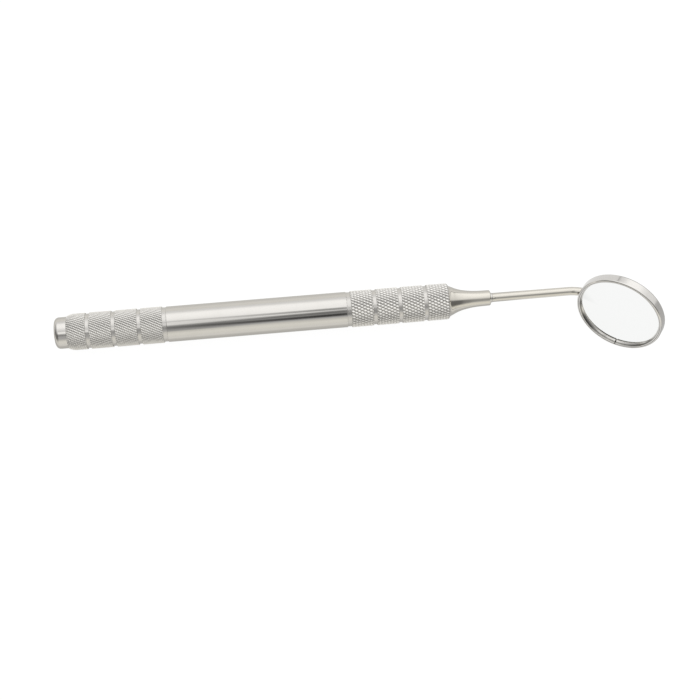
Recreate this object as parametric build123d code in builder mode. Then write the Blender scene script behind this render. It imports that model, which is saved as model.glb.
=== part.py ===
from build123d import *
from math import cos, radians, sin, sqrt
import os

# Mouth mirror with a hollow, knurled steel handle and a screw-in mirror head.
#
# Frame: millimetres, +Z up.  The handle's axis is X, from the tail to the mirror, and the
# origin is the centre of the tail cap's flat end face.  The mirror lies at rest on a table:
# both knurled grips and the lowest point of the mirror's rim touch the plane
# Z = -KNURL_RADIUS.  Threads and knurls are drawn as plain cylinders here.

# Handle, radii
TUBE_RADIUS = 4.75
TUBE_BORE_RADIUS = 4.25
KNURL_RADIUS = 4.88
GROOVE_RADIUS = 4.58
CAP_RADIUS = 4.2
SPIGOT_RADIUS = 4.23
GRIP_BORE_RADIUS = 3.85
CAP_PLUG_RADIUS = 3.83

# Handle, places along X
CAP_END = 3.35
CAP_PLUG_END = 8.0
CAP_EDGE = 1.25
CAP_PLUG_CHAMFER = 0.3
REAR_TUBE_JOINT = 29.75
FRONT_TUBE_JOINT = 77.7
TUBE_CHAMFER = 0.08
SPIGOT_LENGTH = 4.0
KNURL_PITCH = 6.8
GROOVE_WIDTH = 0.95
REAR_GROOVE_X = 8.85
FRONT_GROOVE_X = 85.15
SEAT_RING_WIDTH = 1.1
GROOVE_COUNT = 3
KNURL_END = 104.85
KNURL_LEAD = 2.2
KNURL_LEAD_RADIUS = 4.35
KNURL_CORNER = 0.15
NOSE_MOUTH_RADIUS = 4.6
COLLAR_END = 116.45
COLLAR_RADIUS = 2.06
COLLAR_EDGE = 0.25
FRONT_BORE_END = 101.5

# Screw joint between the stem and the nose, an M2.5 x 0.45 thread drawn at its pitch radius
SCREW_RADIUS = 1.1
SCREW_CLEARANCE = 0.05
SCREW_LENGTH = 6.45
TIP_ROOM = 0.9
WASHER_THICKNESS = 0.5
WASHER_RADIUS = 1.3
WASHER_ROUND = 0.1
SCREW_CHAMFER = 0.2

# Stem
STEM_ROOT_RADIUS = 1.22
STEM_TIP_RADIUS = 1.16
STEM_BEND_RADIUS = 12.0
STEM_FLAT = 0.3
STEM_SEAT_LENGTH = 2.6
STEM_END_ROUND = 0.7

# Mirror head: heights are measured from the mirror's face, along its normal
HEAD_X = 149.9
HEAD_RISE = 9.25
HEAD_TILT = 34.3
HEAD_RADIUS = 12.0
CUP_BACK = 1.85
CUP_FLOOR = 1.4
CUP_LIP = 0.98
CUP_WALL = 0.5
CUP_BACK_ROUND = 0.5
CUP_LIP_ROUND = 0.38
GLASS_RADIUS = 11.42
GLASS_THICKNESS = 1.1
COATING_THICKNESS = 0.04
GLASS_CHAMFER = 0.12
CEMENT_MARGIN = 0.2
RING_INNER_RADIUS = 10.82
RING_HEIGHT = 0.68
RING_SHOULDER = 0.5
RING_BEVEL = 0.3
RING_EASE = 0.12
RING_CLEARANCE = 0.03
RING_GAP = 0.4
RING_GAP_ANGLE = 271.0
FILLET_WIDTH = 0.5
FILLET_HEIGHT = 0.6
FILLET_TAPER = 35
FILLET_MARGIN = 0.1

# Worked out from the dimensions above
screw_hole_radius = SCREW_RADIUS + SCREW_CLEARANCE
screw_start = COLLAR_END - SCREW_LENGTH
stem_shoulder = COLLAR_END + WASHER_THICKNESS
cup_bore_radius = HEAD_RADIUS - CUP_WALL
tilt_sin = sin(radians(HEAD_TILT))
tilt_cos = cos(radians(HEAD_TILT))

# The handle rolls until the rounded back edge of the cup is level with the knurl.  With c the
# cosine of that roll, (arm * c + drop)^2 = edge^2 * (1 - (tilt_cos * c)^2), solved for c.
edge = HEAD_RADIUS - CUP_BACK_ROUND
drop = KNURL_RADIUS - CUP_BACK_ROUND
arm = HEAD_RISE - (CUP_BACK - CUP_BACK_ROUND) * tilt_cos
quadratic_a = arm**2 + (edge * tilt_cos) ** 2
quadratic_c = drop**2 - edge**2
roll_cos = (sqrt((arm * drop) ** 2 - quadratic_a * quadratic_c) - arm * drop) / quadratic_a
roll_sin = sqrt(1 - roll_cos**2)

# "rise" points from the handle's axis to the centre of the mirror's face, across the handle
rise = Vector(0, -roll_sin, roll_cos)
along = Vector(1, 0, 0)
face_normal = rise * tilt_cos - along * tilt_sin
face_outward = along * tilt_cos + rise * tilt_sin
face_centre = along * HEAD_X + rise * HEAD_RISE
head_plane = Plane(origin=face_centre, x_dir=face_outward, z_dir=face_normal)
back_plane = Plane(
    origin=face_centre - face_normal * CUP_BACK, x_dir=face_outward, z_dir=-face_normal
)
head_section = Plane(
    origin=face_centre, x_dir=face_outward, z_dir=face_outward.cross(face_normal)
)
stem_section = Plane(origin=(0, 0, 0), x_dir=along, z_dir=along.cross(rise))
head_axis = Axis(face_centre, face_normal)

# The bend starts where its end will lie flat against the cup's back, sunk by STEM_FLAT
seat_distance = STEM_TIP_RADIUS - STEM_FLAT
seat_offset = seat_distance + CUP_BACK - HEAD_RISE * tilt_cos + HEAD_X * tilt_sin
bend_start = (seat_offset - STEM_BEND_RADIUS * (1 - tilt_cos)) / tilt_sin


def cut_groove(centre_x, width):
    """Turns a plain polished groove into the part being built, around the handle's axis."""
    with BuildSketch(Plane.YZ.offset(centre_x - width / 2)) as ring:
        Circle(KNURL_RADIUS + 1)
        Circle(GROOVE_RADIUS, mode=Mode.SUBTRACT)
    extrude(ring.sketch, amount=width, mode=Mode.SUBTRACT)


def bore(start_x, end_x, radius):
    """Bores a plain hole along the handle's axis."""
    with BuildSketch(Plane.YZ.offset(start_x)) as hole:
        Circle(radius)
    extrude(hole.sketch, amount=end_x - start_x, mode=Mode.SUBTRACT)


def disc_between(low, high, radius):
    """Adds a disc to the head, between two heights over the mirror's face."""
    with BuildSketch(head_plane.offset(low)) as disc:
        Circle(radius)
    extrude(disc.sketch, amount=high - low)


os.makedirs("parts", exist_ok=True)

# Tail cap: a turned plug with a flat end face and a well rounded corner
with BuildPart() as tail_cap:
    with BuildSketch(Plane.YZ):
        Circle(CAP_RADIUS)
    extrude(amount=CAP_END)
    fillet(tail_cap.edges().filter_by(GeomType.CIRCLE).sort_by(Axis.X)[0], CAP_EDGE)
    with BuildSketch(Plane.YZ.offset(CAP_END)):
        Circle(CAP_PLUG_RADIUS)
    extrude(amount=CAP_PLUG_END - CAP_END)
    chamfer(tail_cap.edges().filter_by(GeomType.CIRCLE).sort_by(Axis.X)[-1], CAP_PLUG_CHAMFER)
tail_cap.part.label = "tail_cap"
export_step(tail_cap.part, "parts/tail_cap.step")

# Rear grip: a knurled sleeve that tapers in at the cap and plugs into the centre tube
with BuildPart() as rear_grip:
    with BuildSketch(Plane.XY):
        with BuildLine():
            Polyline(
                (CAP_END + KNURL_LEAD, KNURL_RADIUS),
                (REAR_TUBE_JOINT, KNURL_RADIUS),
                (REAR_TUBE_JOINT, SPIGOT_RADIUS),
                (REAR_TUBE_JOINT + SPIGOT_LENGTH, SPIGOT_RADIUS),
                (REAR_TUBE_JOINT + SPIGOT_LENGTH, 0),
                (CAP_END, 0),
                (CAP_END, KNURL_LEAD_RADIUS),
            )
            TangentArc(
                (CAP_END + KNURL_LEAD, KNURL_RADIUS),
                (CAP_END, KNURL_LEAD_RADIUS),
                tangent=(-1, 0),
            )
        make_face()
    revolve(axis=Axis.X)
    for number in range(GROOVE_COUNT):
        cut_groove(REAR_GROOVE_X + number * KNURL_PITCH, GROOVE_WIDTH)
    cut_groove(REAR_TUBE_JOINT - SEAT_RING_WIDTH / 2, SEAT_RING_WIDTH)
    bore(CAP_END, REAR_TUBE_JOINT + SPIGOT_LENGTH, GRIP_BORE_RADIUS)
rear_grip.part.label = "rear_grip"
export_step(rear_grip.part, "parts/rear_grip.step")

# Centre tube: thin polished tube between the grips
with BuildPart() as centre_tube:
    with BuildSketch(Plane.YZ.offset(REAR_TUBE_JOINT)):
        Circle(TUBE_RADIUS)
        Circle(TUBE_BORE_RADIUS, mode=Mode.SUBTRACT)
    extrude(amount=FRONT_TUBE_JOINT - REAR_TUBE_JOINT)
    rims = centre_tube.edges().filter_by(GeomType.CIRCLE)
    chamfer(rims.filter_by(lambda rim: rim.radius > TUBE_BORE_RADIUS), TUBE_CHAMFER)
centre_tube.part.label = "centre_tube"
export_step(centre_tube.part, "parts/centre_tube.step")

# Front grip: knurled sleeve, hollow, closed by the concave nose and its slim collar, which
# is tapped for the stem
with BuildPart() as front_grip:
    with BuildSketch(Plane.XY):
        with BuildLine():
            nose = Spline(
                (KNURL_END + KNURL_CORNER, NOSE_MOUTH_RADIUS),
                (KNURL_END + 1.6, 3.6),
                (KNURL_END + 3.2, 2.93),
                (KNURL_END + 5.6, 2.4),
                (COLLAR_END - COLLAR_EDGE, COLLAR_RADIUS),
                tangents=[(0.35, -1), (1, -0.03)],
            )
            Polyline(
                nose @ 1,
                (COLLAR_END, COLLAR_RADIUS - COLLAR_EDGE),
                (COLLAR_END, 0),
                (FRONT_TUBE_JOINT - SPIGOT_LENGTH, 0),
                (FRONT_TUBE_JOINT - SPIGOT_LENGTH, SPIGOT_RADIUS),
                (FRONT_TUBE_JOINT, SPIGOT_RADIUS),
                (FRONT_TUBE_JOINT, KNURL_RADIUS),
                (KNURL_END - KNURL_CORNER, KNURL_RADIUS),
                nose @ 0,
            )
        make_face()
    revolve(axis=Axis.X)
    cut_groove(FRONT_TUBE_JOINT + SEAT_RING_WIDTH / 2, SEAT_RING_WIDTH)
    for number in range(GROOVE_COUNT):
        cut_groove(FRONT_GROOVE_X + number * KNURL_PITCH, GROOVE_WIDTH)
    bore(FRONT_TUBE_JOINT - SPIGOT_LENGTH, FRONT_BORE_END, GRIP_BORE_RADIUS)
    bore(screw_start - TIP_ROOM, COLLAR_END, screw_hole_radius)
front_grip.part.label = "front_grip"
export_step(front_grip.part, "parts/front_grip.step")

# Seat washer: thin ring pinched between the nose's collar and the stem's shoulder
with BuildPart() as seat_washer:
    with BuildSketch(Plane.YZ.offset(COLLAR_END)):
        Circle(WASHER_RADIUS)
        Circle(screw_hole_radius, mode=Mode.SUBTRACT)
    extrude(amount=WASHER_THICKNESS)
    rims = seat_washer.edges().filter_by(GeomType.CIRCLE)
    fillet(rims.filter_by(lambda rim: rim.radius > screw_hole_radius), WASHER_ROUND)
seat_washer.part.label = "seat_washer"
export_step(seat_washer.part, "parts/seat_washer.step")

# Mirror cup: a shallow pressed pan whose lip stands over the glass
with BuildPart() as mirror_cup:
    with BuildSketch(head_section):
        with BuildLine():
            Polyline(
                (0, -CUP_BACK),
                (HEAD_RADIUS, -CUP_BACK),
                (HEAD_RADIUS, CUP_LIP),
                (cup_bore_radius, CUP_LIP),
                (cup_bore_radius, -CUP_FLOOR),
                (0, -CUP_FLOOR),
                close=True,
            )
        make_face()
    revolve(axis=head_axis)
    rims = mirror_cup.edges().filter_by(GeomType.CIRCLE)
    outer_rims = rims.filter_by(lambda rim: rim.radius > cup_bore_radius)
    back_rim = outer_rims.sort_by(head_axis)[0]
    lip_rim = outer_rims.sort_by(head_axis)[-1]
    fillet(back_rim, CUP_BACK_ROUND)
    fillet(lip_rim, CUP_LIP_ROUND)
mirror_cup.part.label = "mirror_cup"
export_step(mirror_cup.part, "parts/mirror_cup.step")

# Backing cement: the thin bed that the glass is set in
with BuildPart() as backing_cement:
    disc_between(-CUP_FLOOR, -GLASS_THICKNESS, GLASS_RADIUS - CEMENT_MARGIN)
backing_cement.part.label = "backing_cement"
export_step(backing_cement.part, "parts/backing_cement.step")

# Mirror glass: plane disc with ground edges
with BuildPart() as mirror_glass:
    disc_between(-GLASS_THICKNESS, -COATING_THICKNESS, GLASS_RADIUS)
    chamfer(mirror_glass.edges().filter_by(GeomType.CIRCLE), GLASS_CHAMFER)
mirror_glass.part.label = "mirror_glass"
export_step(mirror_glass.part, "parts/mirror_glass.step")

# Mirror coating: the reflecting layer on the front of the glass, drawn thicker than life
with BuildPart() as mirror_coating:
    disc_between(-COATING_THICKNESS, 0, GLASS_RADIUS - GLASS_CHAMFER)
mirror_coating.part.label = "mirror_coating"
export_step(mirror_coating.part, "parts/mirror_coating.step")

# Glass ring: a split ring with a bevelled inside that holds the glass down in the cup
with BuildPart() as glass_ring:
    with BuildSketch(head_section):
        with BuildLine():
            Polyline(
                (RING_INNER_RADIUS, 0),
                (cup_bore_radius - RING_CLEARANCE, 0),
                (cup_bore_radius - RING_CLEARANCE, RING_HEIGHT),
                (RING_INNER_RADIUS + RING_BEVEL + RING_EASE, RING_HEIGHT),
                (RING_INNER_RADIUS + RING_BEVEL, RING_SHOULDER),
                close=True,
            )
        make_face()
    revolve(axis=head_axis)
    with BuildSketch(head_plane):
        with PolarLocations(HEAD_RADIUS, 1, start_angle=RING_GAP_ANGLE):
            Rectangle(2 * (HEAD_RADIUS - RING_INNER_RADIUS) + RING_GAP, RING_GAP)
    extrude(amount=CUP_LIP, mode=Mode.SUBTRACT)
glass_ring.part.label = "glass_ring"
export_step(glass_ring.part, "parts/glass_ring.step")

# Space taken by the cup, which the stem and its fillet are ground to fit against
with BuildPart() as cup_space:
    disc_between(-CUP_BACK, CUP_LIP, HEAD_RADIUS)
    fillet(cup_space.edges().filter_by(GeomType.CIRCLE).sort_by(head_axis)[0], CUP_BACK_ROUND)

# Stem: a rod with a threaded root, bent at its tip to lie against the back of the cup
with BuildPart() as stem:
    with BuildSketch(stem_section):
        with BuildLine():
            Polyline(
                (screw_start, 0),
                (screw_start, SCREW_RADIUS - SCREW_CHAMFER),
                (screw_start + SCREW_CHAMFER, SCREW_RADIUS),
                (stem_shoulder, SCREW_RADIUS),
                (stem_shoulder, STEM_ROOT_RADIUS),
                (bend_start, STEM_TIP_RADIUS),
                (bend_start, 0),
                close=True,
            )
        make_face()
    revolve(axis=Axis.X)
    with BuildLine(stem_section) as bend_path:
        bend = CenterArc((bend_start, STEM_BEND_RADIUS), STEM_BEND_RADIUS, -90, HEAD_TILT)
        Line(bend @ 1, (bend @ 1) + face_outward * STEM_SEAT_LENGTH)
    with BuildSketch(Plane(origin=bend_path.line @ 0, z_dir=along)):
        Circle(STEM_TIP_RADIUS)
    sweep(path=bend_path.line)
    fillet(stem.edges().filter_by(GeomType.CIRCLE).sort_by(Axis.X)[-1], STEM_END_ROUND)
    add(cup_space.part, mode=Mode.SUBTRACT)
stem.part.label = "stem"
export_step(stem.part, "parts/stem.step")

# Weld fillet: the bead that closes the corner between the stem's tip and the cup
seat_end = (bend @ 1 - face_centre).dot(face_outward) + STEM_SEAT_LENGTH
seat_start = -HEAD_RADIUS + CUP_BACK_ROUND + FILLET_MARGIN
with BuildPart() as weld_fillet:
    with BuildSketch(back_plane):
        with Locations(((seat_start + seat_end) / 2, 0)):
            SlotOverall(
                seat_end - seat_start + FILLET_WIDTH, 2 * (STEM_TIP_RADIUS + FILLET_WIDTH)
            )
    extrude(amount=FILLET_HEIGHT, taper=FILLET_TAPER)
    add(stem.part, mode=Mode.SUBTRACT)
weld_fillet.part.label = "weld_fillet"
export_step(weld_fillet.part, "parts/weld_fillet.step")
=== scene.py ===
import math

import bmesh
import bpy
from mathutils import Matrix, Vector


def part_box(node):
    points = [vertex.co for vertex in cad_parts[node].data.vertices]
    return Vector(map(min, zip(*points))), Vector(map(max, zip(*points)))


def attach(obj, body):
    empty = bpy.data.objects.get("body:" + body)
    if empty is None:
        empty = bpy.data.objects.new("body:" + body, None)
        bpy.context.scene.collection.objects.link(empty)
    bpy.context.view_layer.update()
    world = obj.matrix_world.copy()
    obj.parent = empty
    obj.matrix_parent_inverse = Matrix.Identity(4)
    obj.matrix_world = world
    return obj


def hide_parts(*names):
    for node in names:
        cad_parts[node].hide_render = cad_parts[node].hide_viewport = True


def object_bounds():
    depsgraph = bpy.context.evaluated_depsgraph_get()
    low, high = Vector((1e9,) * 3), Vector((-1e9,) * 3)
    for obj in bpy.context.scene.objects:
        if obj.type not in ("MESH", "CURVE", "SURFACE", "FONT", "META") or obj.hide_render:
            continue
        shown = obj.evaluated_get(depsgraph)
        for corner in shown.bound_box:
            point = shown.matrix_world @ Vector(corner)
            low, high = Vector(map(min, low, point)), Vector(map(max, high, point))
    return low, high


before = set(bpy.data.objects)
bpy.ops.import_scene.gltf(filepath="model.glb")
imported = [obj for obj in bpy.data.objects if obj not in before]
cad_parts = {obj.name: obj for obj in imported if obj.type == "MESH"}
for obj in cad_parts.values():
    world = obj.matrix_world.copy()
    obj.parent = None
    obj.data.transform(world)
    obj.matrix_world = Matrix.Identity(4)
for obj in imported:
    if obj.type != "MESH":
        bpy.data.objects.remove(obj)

cad_low, cad_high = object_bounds()

MM = 0.001
TURN = 2 * math.pi

# Sizes, in metres.  Those of a piece that stands for a CAD node repeat the CAD's own, except
# the thread, which the CAD draws plain at its pitch radius, and the top of the glass ring.
TUBE_RADIUS = 4.75 * MM
CREST_RADIUS = 4.88 * MM
GROOVE_RADIUS = 4.58 * MM
SPIGOT_RADIUS = 4.23 * MM
TUBE_BORE_RADIUS = 4.25 * MM
GRIP_BORE_RADIUS = 3.85 * MM
SPIGOT_LENGTH = 4.0 * MM
GROOVE_WIDTH = 0.95 * MM
SEAT_RING_WIDTH = 1.1 * MM
BAND_PITCH = 6.8 * MM
FIRST_REAR_GROOVE = 5.5 * MM
FIRST_FRONT_GROOVE = 7.45 * MM
GROOVE_COUNT = 3
FRONT_KNURL_LENGTH = 27.15 * MM
CAP_RADIUS = 4.2 * MM
CAP_EDGE = 1.25 * MM
CAP_PLUG_RADIUS = 3.83 * MM
LEAD_LENGTH = 2.2 * MM
LEAD_RADIUS = 4.35 * MM
COLLAR_RADIUS = 2.06 * MM
SCREW_PITCH = 0.45 * MM
SCREW_RADIUS = 1.24 * MM
SCREW_DEPTH = 0.25 * MM
SCREW_PLAY = 0.07 * MM
SCREW_RELIEF = 0.08 * MM
SCREW_LEAD = 0.15 * MM
MOUTH_CHAMFER = 0.2 * MM
DRILL_ROOM = 0.5 * MM
DRILL_POINT = 0.4 * MM
NECK_RADIUS = 1.04 * MM
NECK_LENGTH = 0.6 * MM
NECK_EASE = 0.05 * MM
STEM_ROOT_RADIUS = 1.22 * MM
STEM_TIP_RADIUS = 1.16 * MM
STEM_BEND_RADIUS = 12.0 * MM
STEM_FLAT = 0.3 * MM
STEM_SEAT_LENGTH = 2.6 * MM
STEM_END_ROUND = 0.7 * MM
COATING_HALF = 0.02 * MM
CUP_RADIUS = 12.0 * MM
CUP_BACK = 1.85 * MM
CUP_FLOOR = 1.4 * MM
CUP_LIP = 0.98 * MM
CUP_WALL = 0.5 * MM
RING_INNER_RADIUS = 10.82 * MM
RING_SHOULDER = 0.5 * MM
RING_BEVEL = 0.3 * MM
RING_GAP = 0.4 * MM
RING_GAP_ANGLE = math.radians(271.0)
WASHER_BORE = 1.08 * MM
WASHER_RADIUS = 1.3 * MM
WASHER_ROUND = 0.1 * MM
WELD_WIDTH = 0.5 * MM
WELD_HEIGHT = 0.42 * MM

# Knurls.  Each is two families of V cuts that lean opposite ways.  A family is its number of
# starts, the rows of the grid from cut to cut, its lean, the cuts' share of the pitch, and
# their share of the full depth.
FRONT_COLUMNS = 360
FRONT_ROW = 0.157 * MM
FRONT_KNURL = ((36, 10, -1, 0.8, 1.0), (36, 10, 1, 0.8, 0.75))
FRONT_DEPTH = 0.21 * MM
REAR_COLUMNS = 396
REAR_ROW = 0.147 * MM
REAR_KNURL = ((44, 9, -1, 8 / 9, 1.0), (66, 6, 1, 2 / 3, 0.7))
REAR_DEPTH = 0.17 * MM
BAND_EDGE = 0.12 * MM
GROOVE_EASE = 0.03 * MM

SPIGOT_EDGE = 0.3 * MM
NOSE_PLUG_LENGTH = 3.3 * MM
NOSE_PLUG_RADIUS = 4.2 * MM
NOSE_MOUTH_RADIUS = 4.6 * MM
KNURL_CORNER = 0.15 * MM
COLLAR_EDGE = 0.25 * MM
STEM_SHOULDER_EDGE = 0.1 * MM
CUP_BACK_ROUND = 0.5 * MM
CUP_LIP_ROUND = 0.38 * MM
RING_EASE = 0.12 * MM
WELD_RIPPLE = 0.35 * MM
WELD_ROOT = 0.3 * MM
WELD_PAST_TIP = 0.3 * MM
WELD_LAP = 0.08 * MM
BRACE = 0.03 * MM
FINE_EDGE = 0.04 * MM
SEAT_EDGE = 0.08 * MM
TUBE_EDGE = 0.1 * MM
PLUG_EDGE = 0.3 * MM
CUP_CORNER = 0.15 * MM
RING_CORNER = 0.05 * MM
RING_PLAY = 0.03 * MM
RING_LIFT = 0.005 * MM
RING_FOOT_EASE = 0.01 * MM
RING_INNER_DROP = 0.06 * MM
RING_OUTER_DROP = 0.04 * MM

# Counts of columns round each turned piece, and of steps and points along the others
NOSE_COLUMNS = 144
TUBE_COLUMNS = 256
CAP_COLUMNS = 256
SMALL_COLUMNS = 96
CUP_COLUMNS = 320
RING_COLUMNS = 300
ROWS_PER_THREAD = 10
TAPPED_THREADS = 6
STEM_POINTS = 64
STEM_STRAIGHT_STEPS = 24
STEM_BEND_STEPS = 40
STEM_SEAT_STEPS = 12
STEM_END_STEPS = 9
BEAD_SECTIONS = 260
BEAD_ARC_STEPS = 6

# Camera: it looks down at the table, a little from the tail's side
CAMERA_YAW = 2.5
CAMERA_ROLL = 4.78
CAMERA_DISTANCE = 402 * MM
CAMERA_LENS = 36 * 1500 / 700
CAMERA_AIM_X = 78.59 * MM
CAMERA_AIM_DROP = 10.93 * MM

# Table top: its half side, how far it lies under the instrument, and its glow.  Reflections
# see it shaded by the handle and by the head, and warm under the handle.
TABLE_HALF = 1.5
TABLE_DROP = 0.02 * MM
TABLE_GREY_LOW = (0.12, 0.12, 0.12)
TABLE_GREY_HIGH = (0.13, 0.13, 0.13)
FLOOR_GLOW = 0.94
FLOOR_WARM = (1.0, 0.985, 0.94)
FLOOR_WHITE = (1.0, 1.0, 1.0)
SHADE_OPEN = 0.965
SHADE_BY_HANDLE = 0.58
SHADE_BY_HEAD = 0.53
SHADE_MIDDLE = -4 * MM
SHADE_NEAR = 4 * MM
SHADE_FAR = 26 * MM
HANDLE_SHADE_END = (112 * MM, 128 * MM)
HEAD_SHADE_START = (157 * MM, 167 * MM)
WARM_END = (90 * MM, 106 * MM)


# ---------------------------------------------------------------- places read from the frame

def middle(node):
    """Centre of a CAD node's box."""
    low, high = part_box(node)
    return (low + high) / 2


def face_normal(node):
    """Upward normal of the largest flat face of a CAD node."""
    faces = [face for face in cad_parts[node].data.polygons if face.normal.z > 0]
    return max(faces, key=lambda face: face.area).normal.normalized()


cap_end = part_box("rear_grip")[0].x
rear_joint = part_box("centre_tube")[0].x
front_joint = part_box("centre_tube")[1].x
collar_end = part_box("front_grip")[1].x
washer_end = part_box("seat_washer")[1].x
screw_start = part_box("stem")[0].x
knurl_end = front_joint + FRONT_KNURL_LENGTH

along = Vector((1, 0, 0))
normal = face_normal("mirror_coating")
face_centre = middle("mirror_coating") + normal * COATING_HALF
tilt_sin = -normal.x
tilt_cos = math.sqrt(1 - tilt_sin**2)
rise = (normal + along * tilt_sin) / tilt_cos
outward = along * tilt_cos + rise * tilt_sin
sideways = normal.cross(outward)

# Turning frames: a lathe outline is (radius, height), and height runs along the frame's Z
handle_turn = Matrix(((0, 0, 1, 0), (1, 0, 0, 0), (0, 1, 0, 0), (0, 0, 0, 1)))
head_turn = Matrix.Translation(face_centre) @ Matrix(
    (
        (outward.x, sideways.x, normal.x, 0),
        (outward.y, sideways.y, normal.y, 0),
        (outward.z, sideways.z, normal.z, 0),
        (0, 0, 0, 1),
    )
)


# ---------------------------------------------------------------- mesh tools

def add_piece(name, points, faces, body, material, slot, stands_for=(), sharp_angle=35):
    """Makes a mesh object that rides on a CAD body and takes a material."""
    mesh = bpy.data.meshes.new(name)
    mesh.from_pydata([tuple(point) for point in points], [], faces)
    mesh.validate()
    shell = bmesh.new()
    shell.from_mesh(mesh)
    bmesh.ops.recalc_face_normals(shell, faces=shell.faces)
    shell.to_mesh(mesh)
    shell.free()
    mesh.shade_smooth()
    mesh.set_sharp_from_angle(angle=math.radians(sharp_angle))
    mesh.materials.append(material)
    piece = bpy.data.objects.new(name, mesh)
    bpy.context.scene.collection.objects.link(piece)
    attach(piece, body)
    if stands_for:
        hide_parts(*stands_for)
    return piece


def rounded(corners, steps=5):
    """An outline from (radius, height, rounding) corners, with arcs where rounding is over 0."""
    outline = []
    count = len(corners)
    for number, (radius, height, rounding) in enumerate(corners):
        here = Vector((radius, height))
        if rounding <= 0:
            outline.append(here)
            continue
        back = (Vector(corners[number - 1][:2]) - here).normalized()
        ahead = (Vector(corners[(number + 1) % count][:2]) - here).normalized()
        half = back.angle(ahead) / 2
        centre = here + (back + ahead).normalized() * (rounding / math.sin(half))
        start = here + back * (rounding / math.tan(half)) - centre
        end = here + ahead * (rounding / math.tan(half)) - centre
        swing = start.angle(end)
        for step in range(steps + 1):
            share = step / steps
            mix = (
                start * math.sin((1 - share) * swing) + end * math.sin(share * swing)
            ) / math.sin(swing)
            outline.append(centre + mix)
    return braced(outline)


def braced(outline):
    """Adds a row close to both ends of each long side, so that its shading stays straight."""
    rows = []
    for number, here in enumerate(outline):
        after = outline[(number + 1) % len(outline)]
        side = after - here
        rows.append(here)
        if side.length > 6 * BRACE:
            rows.append(here + side.normalized() * BRACE)
            rows.append(after - side.normalized() * BRACE)
    return rows


def turned(rows, turn, columns=192, start=0.0, sweep=TURN):
    """Points and faces of a closed outline turned round a frame's Z, all round or in part.

    A row is (radius, height).  Its radius may be a function of height and angle.
    """
    whole = abs(sweep - TURN) < 1e-9
    across = columns if whole else columns + 1
    points = []
    reach = []
    rings = []
    for radius, height in rows:
        if radius == 0:
            rings.append([len(points)] * across)
            points.append(turn @ Vector((0, 0, height)))
            reach.append(0)
            continue
        ring = []
        for column in range(across):
            angle = start + sweep * column / columns
            here = radius(height, angle) if callable(radius) else radius
            ring.append(len(points))
            points.append(turn @ Vector((here * math.cos(angle), here * math.sin(angle), height)))
            reach.append(here)
        rings.append(ring)
    faces = []
    for number, ring in enumerate(rings):
        follower = (number + 1) % len(rings)
        after = rings[follower]
        if ring[0] == ring[-1] and after[0] == after[-1]:
            continue
        shape = rows[number][0]
        cut = callable(shape) and shape is rows[follower][0]
        half_way = (rows[number][1] + rows[follower][1]) / 2
        for column in range(columns):
            side = (column + 1) % across
            corners = [ring[column], ring[side], after[side], after[column]]
            if not cut:
                face = list(dict.fromkeys(corners))
                if len(face) > 2:
                    faces.append(face)
                continue
            one, two, three, four = corners
            true_radius = shape(half_way, start + sweep * (column + 0.5) / columns)
            first_error = abs((reach[one] + reach[three]) / 2 - true_radius)
            second_error = abs((reach[two] + reach[four]) / 2 - true_radius)
            if first_error < second_error:
                faces += [(one, two, three), (one, three, four)]
            else:
                faces += [(one, two, four), (two, three, four)]
    if not whole:
        faces.append([ring[0] for ring in reversed(rings)])
        faces.append([ring[-1] for ring in rings])
    return points, faces


def loft(rings):
    """Points and faces of a tube through rings of equal count, open at both ends."""
    points = [point for ring in rings for point in ring]
    count = len(rings[0])
    faces = []
    for number in range(len(rings) - 1):
        for column in range(count):
            side = (column + 1) % count
            low = number * count
            high = low + count
            faces.append((low + column, low + side, high + side, high + column))
    return points, faces


def through(corners, first_slope, last_slope, steps):
    """Points of a smooth curve through (x, y) corners, with given slopes at its ends."""
    spots = [Vector(corner) for corner in corners]
    slopes = [Vector(first_slope).normalized()]
    for number in range(1, len(spots) - 1):
        before = spots[number] - spots[number - 1]
        ahead = spots[number + 1] - spots[number]
        mixed = before / before.length * ahead.length + ahead / ahead.length * before.length
        slopes.append(mixed.normalized())
    slopes.append(Vector(last_slope).normalized())
    curve = [spots[0]]
    for number in range(len(spots) - 1):
        low, high = spots[number], spots[number + 1]
        reach = (high - low).length
        for step in range(1, steps + 1):
            t = step / steps
            start_share = 2 * t**3 - 3 * t**2 + 1
            curve.append(
                low * start_share
                + slopes[number] * (reach * (t**3 - 2 * t**2 + t))
                + high * (1 - start_share)
                + slopes[number + 1] * (reach * (t**3 - t**2))
            )
    return curve


# ---------------------------------------------------------------- material tools

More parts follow.
